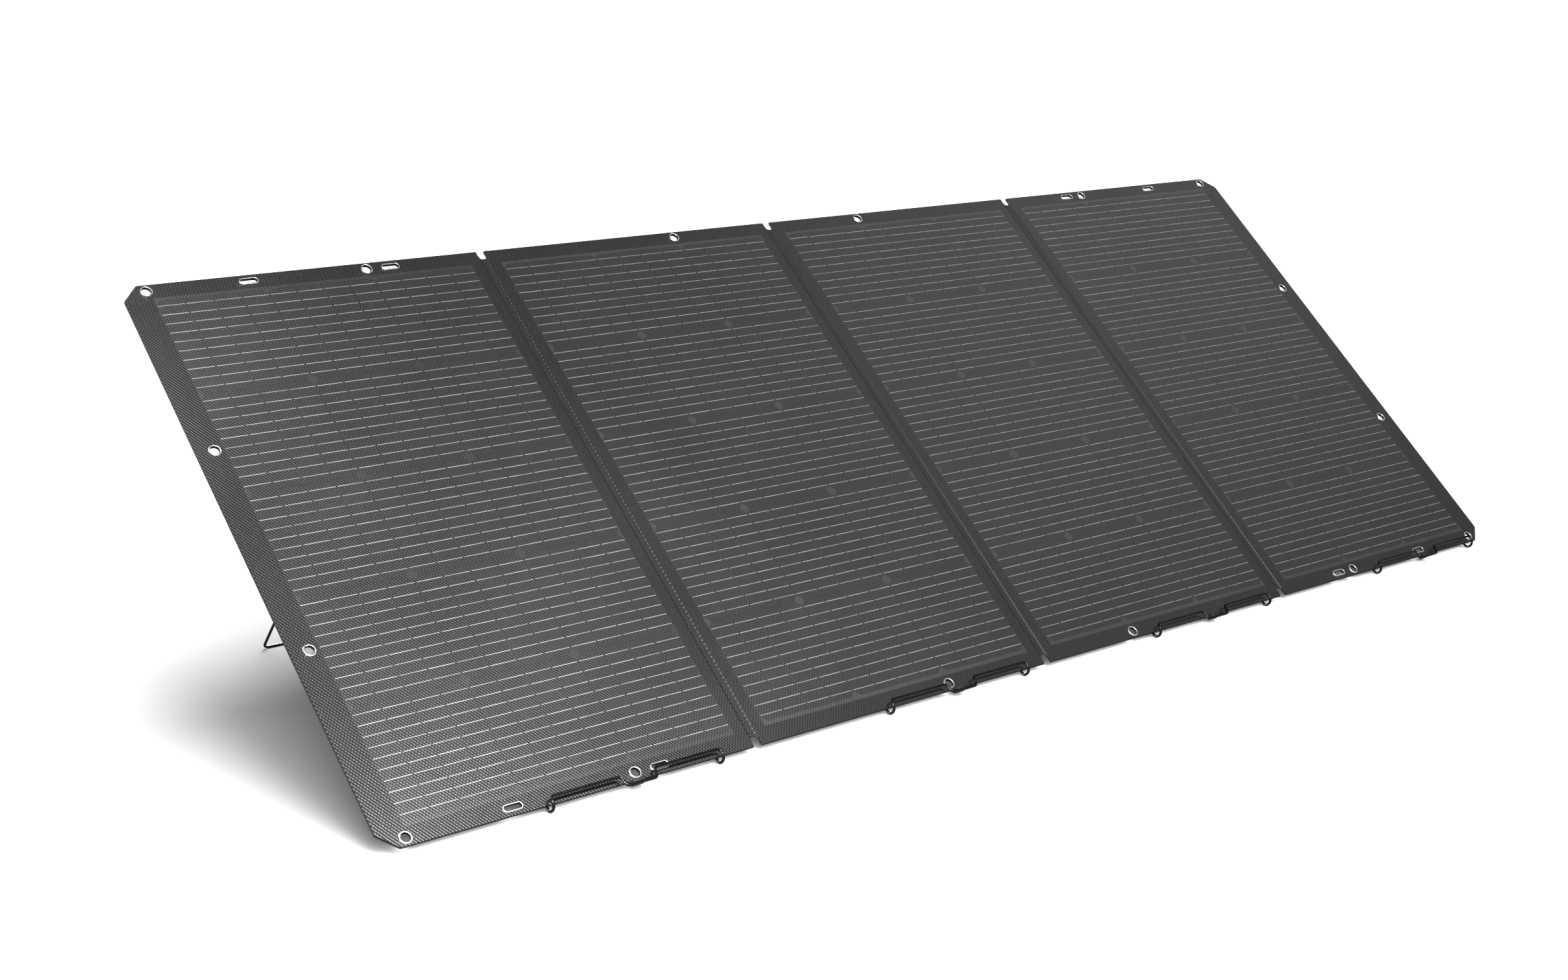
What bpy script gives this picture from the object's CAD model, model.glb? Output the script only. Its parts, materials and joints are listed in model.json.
"""Looks of the folding solar panel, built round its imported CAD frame.

Everything is laid out in the array frame, in millimetres: x along the row of boards, v up the boards and n out
of their front. Its place in the row frame comes from the fold joints.
"""

import json
import math
import random

import bmesh
import bpy
import numpy as np
from mathutils import Matrix, Vector, noise
from mathutils.bvhtree import BVHTree


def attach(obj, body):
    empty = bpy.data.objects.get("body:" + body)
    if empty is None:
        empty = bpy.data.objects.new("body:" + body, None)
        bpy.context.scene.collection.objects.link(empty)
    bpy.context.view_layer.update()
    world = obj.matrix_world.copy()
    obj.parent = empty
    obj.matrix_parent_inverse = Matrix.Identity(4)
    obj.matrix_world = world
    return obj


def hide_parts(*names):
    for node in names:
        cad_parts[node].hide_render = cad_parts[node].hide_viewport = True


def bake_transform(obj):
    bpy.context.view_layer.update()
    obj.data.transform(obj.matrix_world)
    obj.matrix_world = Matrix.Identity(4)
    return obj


MM = 0.001
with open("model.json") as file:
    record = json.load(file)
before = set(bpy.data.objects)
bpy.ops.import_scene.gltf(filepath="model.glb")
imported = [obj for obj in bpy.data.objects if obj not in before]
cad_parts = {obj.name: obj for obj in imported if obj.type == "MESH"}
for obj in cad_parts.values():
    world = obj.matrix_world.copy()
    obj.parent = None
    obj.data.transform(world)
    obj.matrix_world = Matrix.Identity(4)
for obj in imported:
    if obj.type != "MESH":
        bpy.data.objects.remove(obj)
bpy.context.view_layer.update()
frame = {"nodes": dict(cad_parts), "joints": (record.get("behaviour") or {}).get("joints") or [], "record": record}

# ------------------------------------------------------------------ the array frame, from the joints
joints = {j["name"]: j for j in frame["joints"]}
X_DIR = Vector((1.0, 0.0, 0.0))
V_DIR = Vector(joints["fold_right"]["axis"]).normalized()
N_DIR = X_DIR.cross(V_DIR)
ORIGIN = Vector(joints["fold_centre"]["pos_m"])
ARRAY = Matrix.Translation(ORIGIN) @ Matrix((X_DIR, V_DIR, N_DIR)).transposed().to_4x4()
FROM_WORLD = np.array(ARRAY.inverted(), float)


def abox(node):
    """A CAD node's lowest and highest corner in the array frame, in millimetres."""
    mesh = frame["nodes"][node].data
    co = np.zeros(len(mesh.vertices) * 3)
    mesh.vertices.foreach_get("co", co)
    co = co.reshape(-1, 3) @ FROM_WORLD[:3, :3].T + FROM_WORLD[:3, 3]
    return co.min(0) / MM, co.max(0) / MM


BOARDS = [abox(f"board_{i}") for i in (1, 2, 3, 4)]
FILMS = [abox(f"front_film_{i}") for i in (1, 2, 3, 4)]
COVERS = [abox(f"back_cover_{i}") for i in (1, 2, 3, 4)]
CELLS = [abox(f"cell_layer_{i}") for i in (1, 2, 3, 4)]
STANDS = [abox(f"stand_frame_{i}") for i in (1, 2, 3, 4)]
BODIES = ("panel_1", "panel_2", "panel_3", "panel_4")
HEIGHT = BOARDS[0][1][1]
FOLDS = [(Vector(joints[k]["pos_m"]) - ORIGIN).x / MM for k in ("fold_left", "fold_centre", "fold_right")]
CORNER = 27.0
FACE = float(FILMS[0][1][2])
COVER_BACK, FRONT_OF_COVER = -4.0, -3.3

# ------------------------------------------------------------------ small mesh kit


class Bag:
    """Vertices and faces gathered from several shapes, for one piece."""

    def __init__(self):
        self.v, self.f, self.m, self.s = [], [], [], []

    def add(self, verts, faces, mat=0, smooth=True):
        base = len(self.v)
        self.v.extend([tuple(map(float, p)) for p in verts])
        self.f.extend([tuple(base + i for i in face) for face in faces])
        self.m.extend([mat] * len(faces))
        self.s.extend([smooth] * len(faces))

    def box(self, lo, hi, mat=0):
        (x0, y0, z0), (x1, y1, z1) = lo, hi
        v = [(x0, y0, z0), (x1, y0, z0), (x1, y1, z0), (x0, y1, z0), (x0, y0, z1), (x1, y0, z1), (x1, y1, z1), (x0, y1, z1)]
        f = [(0, 3, 2, 1), (4, 5, 6, 7), (0, 1, 5, 4), (1, 2, 6, 5), (2, 3, 7, 6), (3, 0, 4, 7)]
        self.add(v, f, mat, False)

    def prism(self, outline, n0, n1, mat=0):
        """A convex outline in x and v, counterclockwise, between two levels."""
        k = len(outline)
        v = [(x, y, n0) for x, y in outline] + [(x, y, n1) for x, y in outline]
        f = [tuple(range(k - 1, -1, -1)), tuple(range(k, 2 * k))]
        f += [(i, (i + 1) % k, k + (i + 1) % k, k + i) for i in range(k)]
        self.add(v, f, mat, False)

    def loft(self, rings, mat=0, closed=False, caps=True, smooth=True):
        """Rings of equal length joined in order."""
        k, count = len(rings[0]), len(rings)
        v = [p for ring in rings for p in ring]
        f = []
        for a in range(count if closed else count - 1):
            b = (a + 1) % count
            for i in range(k):
                j = (i + 1) % k
                f.append((a * k + i, a * k + j, b * k + j, b * k + i))
        if caps and not closed:
            f.append(tuple(range(k - 1, -1, -1)))
            f.append(tuple(range((count - 1) * k, count * k)))
        self.add(v, f, mat, smooth)

    def tube(self, points, radius, segments=14, closed=False, mat=0, round_ends=True):
        """A round wire along points, with a frame carried along it so that it doesn't twist."""
        p = np.array(points, float)
        n = len(p)
        if closed:
            t = np.roll(p, -1, 0) - np.roll(p, 1, 0)
        else:
            t = np.gradient(p, axis=0)
        t /= np.linalg.norm(t, axis=1)[:, None]
        side = np.cross(t[0], (0.0, 0.0, 1.0) if abs(t[0][2]) < 0.9 else (1.0, 0.0, 0.0))
        side /= np.linalg.norm(side)
        frames = []
        for i in range(n):
            side = side - t[i] * (side @ t[i])
            side /= np.linalg.norm(side)
            frames.append((side.copy(), np.cross(t[i], side)))
        twist = 0.0
        if closed:
            last = side - t[0] * (side @ t[0])
            last /= np.linalg.norm(last)
            twist = math.atan2(last @ frames[0][1], last @ frames[0][0])
        angles = np.arange(segments) / segments * math.tau
        radii = np.full(n, float(radius)) if np.isscalar(radius) else np.array(radius, float)
        rings = []
        for i in range(n):
            a = angles - twist * i / n
            rings.append(p[i] + radii[i] * (np.cos(a)[:, None] * frames[i][0] + np.sin(a)[:, None] * frames[i][1]))
        if not closed and round_ends:
            for end, sign in ((0, -1), (-1, 1)):
                extra = []
                for k in (1, 2, 3):
                    c, s = math.cos(k * math.pi / 8), math.sin(k * math.pi / 8)
                    r = radii[end] * c
                    f = frames[end]
                    extra.append(
                        p[end] + sign * t[end] * radii[end] * s
                        + r * (np.cos(angles)[:, None] * f[0] + np.sin(angles)[:, None] * f[1])
                    )
                rings = extra[::-1] + rings if end == 0 else rings + extra
        self.loft([list(map(tuple, r)) for r in rings], mat, closed)

    def capsule(self, a, b, radius, mat=0, sides=6, flat=1.0):
        """A stitch: a short round-ended thread from a to b."""
        a, b = np.array(a, float), np.array(b, float)
        t = b - a
        length = np.linalg.norm(t)
        t = t / length
        up = np.array((0.0, 0.0, 1.0)) if abs(t[2]) < 0.9 else np.array((1.0, 0.0, 0.0))
        side = np.cross(t, up)
        side /= np.linalg.norm(side)
        up = np.cross(side, t)
        rings = []
        for s, r in ((0.0, 0.35), (0.12, 0.8), (0.5, 1.0), (0.88, 0.8), (1.0, 0.35)):
            c = a + t * length * s
            rings.append(
                [tuple(c + radius * r * (math.cos(q) * side + flat * math.sin(q) * up)) for q in np.arange(sides) / sides * math.tau]
            )
        self.loft(rings, mat)


    def strap(self, path, across, half, thick, mat=0):
        """A flat strap of rounded section along path; across is the direction of its width."""
        p = np.array(path, float)
        t = np.gradient(p, axis=0)
        t /= np.linalg.norm(t, axis=1)[:, None]
        across = np.array(across, float)
        outline = []
        r = thick / 2
        for cx, lo in ((half - r, -90), (-(half - r), 90)):
            for k in range(5):
                a = math.radians(lo + 45 * k)
                outline.append((cx + r * math.cos(a), r * math.sin(a)))
        rings = []
        for i in range(len(p)):
            up = np.cross(t[i], across)
            up /= np.linalg.norm(up)
            rings.append([tuple(p[i] + a * across + b * up) for a, b in outline])
        self.loft(rings, mat)

    def stitches(self, a, b, radius=0.34, length=3.0, gap=1.1, mat=0, lean=0.0, side=(0, 0, 0)):
        """A row of stitches between two points."""
        a, b, side = np.array(a, float), np.array(b, float), np.array(side, float)
        total = np.linalg.norm(b - a)
        count = max(1, int(round(total / (length + gap))))
        step = (b - a) / count
        share = length / (length + gap)
        for i in range(count):
            p = a + step * (i + (1 - share) / 2)
            q = p + step * share
            self.capsule(p - side * lean, q + side * lean, radius, mat, 5, 0.8)


def link(ob):
    bpy.context.scene.collection.objects.link(ob)
    return ob


def piece(name, bag, mats, body=None, node=None, sharp=35.0, smooth=True):
    """Makes a piece of a bag in the array frame. Its points' rest places are kept in the attribute "at", in mm."""
    mesh = bpy.data.meshes.new(name)
    v = np.array(bag.v, float)
    mesh.from_pydata((v * MM).tolist(), [], bag.f)
    for m in mats if isinstance(mats, (list, tuple)) else [mats]:
        mesh.materials.append(m)
    mesh.polygons.foreach_set("material_index", np.array(bag.m, np.int32))
    at = mesh.attributes.new("at", "FLOAT_VECTOR", "POINT")
    at.data.foreach_set("vector", v.astype(np.float32).ravel())
    mesh.update()
    work = bmesh.new()
    work.from_mesh(mesh)
    bmesh.ops.recalc_face_normals(work, faces=work.faces)
    work.to_mesh(mesh)
    work.free()
    mesh.polygons.foreach_set("use_smooth", np.full(len(mesh.polygons), smooth))
    if smooth:
        mesh.set_sharp_from_angle(angle=math.radians(sharp))
    mesh.transform(ARRAY)
    ob = link(bpy.data.objects.new(name, mesh))
    if node:
        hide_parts(*([node] if isinstance(node, str) else node))
    if body:
        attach(ob, body)
    return ob


def circle(cx, cv, radius, half=0.0, segments=48):
    points = []
    for i in range(segments):
        a = math.tau * (i + 0.5) / segments
        side = half if math.cos(a) > 0 else -half
        points.append((cx + side + radius * math.cos(a), cv + radius * math.sin(a)))
    return points


def fillet(points, radii, segments=5, closed=True):
    """An outline with its corners rounded."""
    out, k = [], len(points)
    for i in range(k):
        r = radii[i] if isinstance(radii, (list, tuple)) else radii
        p, a, b = (np.array(points[j % k], float) for j in (i, i - 1, i + 1))
        if r <= 0 or (not closed and i in (0, k - 1)):
            out.append(tuple(p))
            continue
        u, w = (a - p) / np.linalg.norm(a - p), (b - p) / np.linalg.norm(b - p)
        half = math.acos(max(-1.0, min(1.0, float(u @ w)))) / 2
        reach = r / math.tan(half)
        centre = p + (u + w) / np.linalg.norm(u + w) * (r / math.sin(half))
        s, e = p + u * reach - centre, p + w * reach - centre
        sweep = math.acos(max(-1.0, min(1.0, float(s @ e) / (r * r))))
        for t in range(segments + 1):
            q = t / segments
            out.append(tuple(centre + (s * math.sin((1 - q) * sweep) + e * math.sin(q * sweep)) / math.sin(sweep)))
    return out


def plate_bag(outlines, n0, n1, lip=0.0):
    """A flat sheet with holes, filled by a 2D curve, with an optional rounded lip at its front edge."""
    curve = bpy.data.curves.new("fill", "CURVE")
    curve.dimensions = "2D"
    curve.fill_mode = "BOTH"
    curve.extrude = (n1 - n0) / 2 - lip
    if lip:
        curve.bevel_depth = lip
        curve.bevel_resolution = 1
        curve.offset = -lip
    for outline in outlines:
        spline = curve.splines.new("POLY")
        spline.points.add(len(outline) - 1)
        for target, (x, y) in zip(spline.points, outline):
            target.co = (x, y, 0.0, 1.0)
        spline.use_cyclic_u = True
    ob = link(bpy.data.objects.new("fill", curve))
    bpy.context.view_layer.update()
    graph = bpy.context.evaluated_depsgraph_get()
    mesh = bpy.data.meshes.new_from_object(ob.evaluated_get(graph))
    work = bmesh.new()
    work.from_mesh(mesh)
    bmesh.ops.remove_doubles(work, verts=work.verts, dist=1e-4)
    flat = [f for f in work.faces if max(v.co.z for v in f.verts) - min(v.co.z for v in f.verts) < 1e-5]
    inside = set(flat)
    shared = [e for e in work.edges if len(e.link_faces) == 2 and inside.issuperset(e.link_faces)]
    bmesh.ops.beautify_fill(work, faces=flat, edges=shared)
    work.to_mesh(mesh)
    work.free()
    bag = Bag()
    mid = (n0 + n1) / 2
    bag.add([(v.co.x, v.co.y, v.co.z + mid) for v in mesh.vertices], [tuple(p.vertices) for p in mesh.polygons])
    bpy.data.objects.remove(ob, do_unlink=True)
    bpy.data.meshes.remove(mesh)
    bpy.data.curves.remove(curve)
    return bag


def bend(before, corner, after, radius, segments):
    """The points of a fillet at a corner of a bent wire."""
    corner = Vector(corner)
    to_before = (Vector(before) - corner).normalized()
    to_after = (Vector(after) - corner).normalized()
    half = to_before.angle(to_after) / 2
    reach = radius / math.tan(half)
    centre = corner + (to_before + to_after).normalized() * (radius / math.sin(half))
    start, end = corner + to_before * reach - centre, corner + to_after * reach - centre
    sweep = start.angle(end)
    points = []
    for i in range(segments + 1):
        t = i / segments
        a, b = math.sin((1 - t) * sweep), math.sin(t * sweep)
        points.append(tuple(centre + (start * a + end * b) / math.sin(sweep)))
    return points


# ------------------------------------------------------------------ materials


class Nodes:
    """Short hand for building a node tree."""

    def __init__(self, name):
        self.mat = bpy.data.materials.new(name)
        self.mat.use_nodes = True
        self.t = self.mat.node_tree
        self.bsdf = self.t.nodes["Principled BSDF"]

    def new(self, kind, **settings):
        n = self.t.nodes.new(kind)
        for k, v in settings.items():
            setattr(n, k, v)
        return n

    def put(self, socket, value):
        if isinstance(value, bpy.types.NodeSocket):
            self.t.links.new(value, socket)
        elif value is not None:
            socket.default_value = value

    def math(self, op, a, b=0.0, c=None, clamp=False):
        n = self.new("ShaderNodeMath", operation=op, use_clamp=clamp)
        self.put(n.inputs[0], a)
        self.put(n.inputs[1], b)
        if c is not None:
            self.put(n.inputs[2], c)
        return n.outputs[0]

    def at(self):
        return self.new("ShaderNodeAttribute", attribute_name="at").outputs["Vector"]

    def scaled(self, vector, scale, rotation=(0, 0, 0), shift=(0, 0, 0)):
        n = self.new("ShaderNodeMapping")
        self.put(n.inputs["Vector"], vector)
        n.inputs["Scale"].default_value = scale if isinstance(scale, (tuple, list)) else (scale,) * 3
        n.inputs["Rotation"].default_value = rotation
        n.inputs["Location"].default_value = shift
        return n.outputs[0]

    def noise(self, vector, scale=1.0, detail=2.0, rough=0.5):
        n = self.new("ShaderNodeTexNoise")
        self.put(n.inputs["Vector"], vector)
        n.inputs["Scale"].default_value = scale
        n.inputs["Detail"].default_value = detail
        n.inputs["Roughness"].default_value = rough
        return n.outputs[0]

    def ramp(self, value, low, high, a=0.0, b=1.0, smooth=True):
        n = self.new("ShaderNodeMapRange", interpolation_type="SMOOTHSTEP" if smooth else "LINEAR")
        self.put(n.inputs[0], value)
        for i, x in enumerate((low, high, a, b)):
            self.put(n.inputs[1 + i], x)
        return n.outputs[0]

    def mix(self, factor, a, b):
        n = self.new("ShaderNodeMix", data_type="RGBA")
        self.put(n.inputs["Factor"], factor)
        self.put(n.inputs[6], (*a, 1.0) if isinstance(a, tuple) else a)
        self.put(n.inputs[7], (*b, 1.0) if isinstance(b, tuple) else b)
        return n.outputs[2]

    def bump(self, height, distance, strength=1.0, normal=None):
        n = self.new("ShaderNodeBump")
        self.put(n.inputs["Height"], height)
        n.inputs["Distance"].default_value = distance * MM
        self.put(n.inputs["Strength"], strength)
        if normal is not None:
            self.put(n.inputs["Normal"], normal)
        return n.outputs[0]

    def set(self, **values):
        names = {
            "color": "Base Color", "rough": "Roughness", "metal": "Metallic", "normal": "Normal", "spec": "Specular IOR Level",
            "coat": "Coat Weight", "coat_rough": "Coat Roughness", "sheen": "Sheen Weight", "sheen_rough": "Sheen Roughness",
            "coat_normal": "Coat Normal", "ior": "IOR",
        }
        for k, v in values.items():
            if isinstance(v, tuple):
                v = (*v, 1.0)
            self.put(self.bsdf.inputs[names[k]], v)
        return self.mat


EMBOSS_X, EMBOSS_V = 5.08, 7.67


def emboss(t, at):
    """The film's lattice of round bumps: rows 3.8 mm apart, each shifted by half a step."""
    sep = t.new("ShaderNodeSeparateXYZ")
    t.put(sep.inputs[0], at)
    cx = t.math("COSINE", t.math("MULTIPLY", sep.outputs[0], math.tau / EMBOSS_X))
    cv = t.math("COSINE", t.math("MULTIPLY", sep.outputs[1], math.tau / EMBOSS_V))
    return t.math("MULTIPLY_ADD", t.math("MULTIPLY", cx, cv), 0.5, 0.5)


def scratches(t, at):
    """Short hair scratches in a few directions, and specks of dust."""
    total = None
    for angle, shift, low in ((1.35, 0.0, 0.73), (0.55, 41.0, 0.735), (2.3, 83.0, 0.74)):
        turned = t.scaled(at, (1.0, 1.0, 0.0), (0.0, 0.0, angle), (shift, shift * 1.7, 0.0))
        stretched = t.scaled(turned, (0.021, 1.1, 1.0))
        line = t.ramp(t.noise(stretched, 1.0, 0.0), low, low + 0.05)
        total = line if total is None else t.math("MAXIMUM", total, line)
    voro = t.new("ShaderNodeTexVoronoi", feature="F1")
    t.put(voro.inputs["Vector"], t.scaled(at, (1.0, 1.0, 0.0)))
    voro.inputs["Scale"].default_value = 0.045
    speck = t.ramp(voro.outputs["Distance"], 0.018, 0.03, 1.0, 0.0)
    sep = t.new("ShaderNodeSeparateColor")
    t.put(sep.inputs[0], voro.outputs["Color"])
    speck = t.math("MULTIPLY", speck, t.ramp(sep.outputs[0], 0.55, 0.56))
    return total, speck


def film(name, base, rough=0.36, spec=0.5, scratch=0.07):
    """The clear embossed film over something: its colour is what lies behind it."""
    t = Nodes(name)
    at = t.at()
    broad = t.noise(at, 0.004, 3.0)
    fine = t.noise(at, 0.9, 2.0)
    line, speck = scratches(t, at)
    tone = t.ramp(broad, 0.3, 0.7, 0.9, 1.1, False)
    tone = t.math("MULTIPLY", tone, t.ramp(fine, 0.3, 0.7, 0.93, 1.07, False))
    value = t.new("ShaderNodeVectorMath", operation="SCALE")
    value.inputs[0].default_value = base
    t.put(value.inputs["Scale"], tone)
    marks = t.math("MINIMUM", t.math("MULTIPLY_ADD", line, scratch, t.math("MULTIPLY", speck, 0.3)), 1.0)
    color = t.mix(marks, value.outputs[0], (0.16, 0.16, 0.165))
    height = t.math("MULTIPLY_ADD", t.noise(at, 0.35, 2.0), 0.12, emboss(t, at))
    side = t.new("ShaderNodeSeparateXYZ")
    t.put(side.inputs[0], at)
    worn = t.ramp(side.outputs[0], -1150.0, 250.0, 1.0, 0.18)  # the lattice is pressed flatter towards the far boards
    normal = t.bump(height, 0.78, worn)
    roughness = t.ramp(broad, 0.3, 0.7, rough - 0.03, rough + 0.03, False)
    return t.set(color=color, rough=roughness, spec=spec, normal=normal)


def ribbon_material(name):
    t = Nodes(name)
    at = t.at()
    side = t.new("ShaderNodeSeparateXYZ")
    t.put(side.inputs[0], at)
    worn = t.ramp(side.outputs[0], -1150.0, 250.0, 1.0, 0.4)
    wave = t.noise(t.scaled(at, (0.02, 0.06, 0.0)), 1.0, 2.0)
    color = t.mix(t.ramp(wave, 0.3, 0.7), (0.20, 0.20, 0.205), (0.33, 0.33, 0.33))
    height = t.math("MULTIPLY_ADD", t.noise(at, 0.5, 2.0), 0.2, emboss(t, at))
    return t.set(color=color, metal=0.35, rough=0.42, normal=t.bump(height, 0.5, worn))


def weave(name, base, pitch=0.55, rough=0.85, depth=0.12, dark=0.6, sheen=0.25):
    """Coated plain weave: warp and weft threads over and under each other."""
    t = Nodes(name)
    at = t.at()
    sep = t.new("ShaderNodeSeparateXYZ")
    t.put(sep.inputs[0], at)
    u = t.math("MULTIPLY", sep.outputs[0], math.pi / pitch)
    w = t.math("MULTIPLY", sep.outputs[1], math.pi / pitch)
    over = t.math("MULTIPLY", t.math("SINE", u), t.math("SINE", w))
    warp = t.math("ABSOLUTE", t.math("COSINE", u))
    weft = t.math("ABSOLUTE", t.math("COSINE", w))
    top = t.math("MAXIMUM", t.math("MULTIPLY_ADD", over, 0.3, warp), t.math("MULTIPLY_ADD", over, -0.3, weft))
    broad = t.noise(at, 0.006, 3.0)
    fibre = t.noise(t.scaled(at, (1.4, 0.2, 0.7)), 1.0, 3.0)
    tone = t.math("MULTIPLY", t.ramp(top, 0.4, 1.1, dark, 1.12, False), t.ramp(broad, 0.3, 0.7, 0.82, 1.18, False))
    tone = t.math("MULTIPLY", tone, t.ramp(fibre, 0.3, 0.7, 0.88, 1.12, False))
    value = t.new("ShaderNodeVectorMath", operation="SCALE")
    value.inputs[0].default_value = base
    t.put(value.inputs["Scale"], tone)
    soft = t.bump(t.noise(at, 0.018, 2.0), 1.4, 0.5)
    return t.set(color=value.outputs[0], rough=rough, normal=t.bump(top, depth, 1.0, soft), sheen=sheen, sheen_rough=0.4, spec=0.3)


def moulded(name, base, rough=0.5, grain=0.9, depth=0.05, spec=0.5):
    """Moulded plastic or rubber with a fine spark-eroded grain and handling marks."""
    t = Nodes(name)
    at = t.at()
    tone = t.ramp(t.noise(at, 0.05, 4.0), 0.3, 0.7, 0.8, 1.2, False)
    value = t.new("ShaderNodeVectorMath", operation="SCALE")
    value.inputs[0].default_value = base
    t.put(value.inputs["Scale"], tone)
    rub = t.ramp(t.noise(at, 0.16, 5.0, 0.65), 0.35, 0.75, rough - 0.08, rough + 0.12, False)
    return t.set(color=value.outputs[0], rough=rub, spec=spec, normal=t.bump(t.noise(at, grain, 3.0), depth))


def metal(name, base, rough, variation=0.06, brush=0.02):
    t = Nodes(name)
    at = t.at()
    stain = t.noise(at, 0.22, 4.0)
    color = t.mix(t.ramp(stain, 0.35, 0.75), base, tuple(c * 0.82 for c in base))
    value = t.ramp(t.noise(at, 0.6, 3.0), 0.3, 0.7, rough - variation, rough + variation, False)
    return t.set(color=color, metal=1.0, rough=value, normal=t.bump(t.noise(at, 1.6, 3.0), brush))


def coated_wire(name):
    """Dark brown-black coating on steel wire, with rubs where the bare steel shows a little."""
    t = Nodes(name)
    at = t.at()
    tone = t.noise(t.scaled(at, (0.05, 0.05, 0.3)), 1.0, 4.0)
    base = t.mix(t.ramp(tone, 0.3, 0.7), (0.0022, 0.0016, 0.0013), (0.0060, 0.0042, 0.0036))
    rub = t.ramp(t.noise(at, 0.35, 6.0, 0.7), 0.66, 0.74)
    color = t.mix(t.math("MULTIPLY", rub, 0.25), base, (0.07, 0.055, 0.048))
    rough = t.ramp(t.noise(at, 0.5, 3.0), 0.3, 0.7, 0.20, 0.30, False)
    return t.set(color=color, metal=0.0, rough=rough, spec=0.26, normal=t.bump(t.noise(at, 0.7, 4.0), 0.03))


M_FILM = film("film_over_board", (0.0085, 0.0085, 0.0088))
M_BACKING = film("film_over_backing", (0.030, 0.030, 0.031))
M_BACKING_LIT = film("film_over_backing_near", (0.021, 0.021, 0.022))
M_GAP = film("film_over_gaps", (0.0125, 0.0125, 0.0130))
M_CELL = film("film_over_cells", (0.0150, 0.0150, 0.0156))
M_RIBBON = ribbon_material("cell_ribbon")
M_STRIP = film("fold_strip_skin", (0.0085, 0.0085, 0.0088), 0.42, 0.45)
M_EDGE = moulded("board_edge", (0.006, 0.006, 0.0065), 0.6, 0.5, 0.08, 0.3)
M_COVER = weave("cover_fabric", (0.018, 0.0185, 0.020), 0.8, 0.85, 0.22, 0.5)
M_BINDING = weave("binding_tape", (0.010, 0.010, 0.011), 0.8, 0.8, 0.18)
M_WEBBING = weave("keeper_webbing", (0.013, 0.013, 0.014), 1.15, 0.8, 0.3)
M_THREAD = weave("thread", (0.035, 0.035, 0.037), 0.3, 0.7, 0.05)
M_NICKEL = metal("eyelet_nickel", (0.93, 0.925, 0.915), 0.34)
M_BARREL = metal("eyelet_barrel", (0.035, 0.034, 0.033), 0.55)
M_WIRE = coated_wire("stand_wire_coat")
M_BLOCK = moulded("edge_block_rubber", (0.010, 0.010, 0.010), 0.68, 0.8, 0.06, 0.35)
M_BOX = moulded("junction_box_plastic", (0.012, 0.012, 0.0125), 0.46, 1.1, 0.05)
M_SCREW = metal("screw_steel", (0.48, 0.48, 0.47), 0.3)
M_LEAD = moulded("lead_jacket", (0.008, 0.008, 0.008), 0.42, 0.4, 0.03)
M_POUCH = weave("pouch_fabric", (0.014, 0.0145, 0.016), 0.7, 0.88, 0.16)
M_ZIP = moulded("zip_teeth", (0.02, 0.02, 0.02), 0.35, 0.6, 0.03)

# ------------------------------------------------------------------ eyelets
rng = random.Random(41)
names_round = sorted(n for n in frame["nodes"] if n.startswith("round_eyelet"))
names_oval = sorted(n for n in frame["nodes"] if n.startswith("oval_eyelet"))
node_body = {n: b for b, ns in frame["record"]["behaviour"]["bodies"].items() for n in ns}
eyelets = []
for n in names_round + names_oval:
    lo, hi = abox(n)
    half = ((hi[0] - lo[0]) - (hi[1] - lo[1])) / 2 if n in names_oval else 0.0
    eyelets.append((n, (lo[0] + hi[0]) / 2, (lo[1] + hi[1]) / 2, half, (hi[1] - lo[1]) / 2))


def eyelet_piece(node, x, v, half, rim):
    """A rolled rim that stands proud of the film, a barrel and a washer on the back."""
    oval = half > 1.0
    hole = rim - (2.45 if oval else 2.8)
    mid, wide = (rim + hole) / 2, (rim - hole) / 2
    front_top, back_top = 1.1, 5.1
    section = []
    for i in range(13):  # the front rim, from the hole outwards
        a = math.pi * i / 12
        section.append((mid - wide * math.cos(a), 0.04 + (front_top - 0.04) * math.sin(a) ** 0.8))
    section += [(rim - 0.3, 0.0), (hole + 0.7, -0.05), (hole + 0.7, -4.0), (rim - 0.3, -4.02)]
    for i in range(9):  # the back washer, flatter and wider than the rim
        a = math.pi * i / 8
        section.append((mid + wide * math.cos(a), -4.05 - (back_top - 4.05) * math.sin(a) ** 0.6))
    section += [(hole - 0.02, -3.2), (hole - 0.02, -0.6)]
    bag = Bag()
    segments = 72
    rings = []
    for i in range(segments):
        a = math.tau * (i + 0.5) / segments
        side = half if math.cos(a) > 0 else -half
        rings.append([(x + (side if oval else 0) + r * math.cos(a), v + r * math.sin(a), n) for r, n in section])
    bag.loft(rings, 0, closed=True)
    count = len(section)
    dark = set(range(count - 3, count)) | {0, 1, 2}
    bag.m = [1 if k % count in dark else 0 for k in range(len(bag.f))]
    kind = node.replace("_eyelet_", "_rim_")
    return piece(kind, bag, [M_NICKEL, M_BARREL], node_body[node], node, 40.0)


for entry in eyelets:
    eyelet_piece(*entry)

# ------------------------------------------------------------------ boards, front
CELL, PITCH_V, ROWS, COLUMNS = 182.0, 185.0, 5, 3
PITCH_X = 182.85
FIRST_V = 33.8
CHAMFER = 8.4
BUS_PITCH, BUS_FIRST = 17.7, 11.3
DASH, DASH_GAP = 45.72, 3.0


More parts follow.
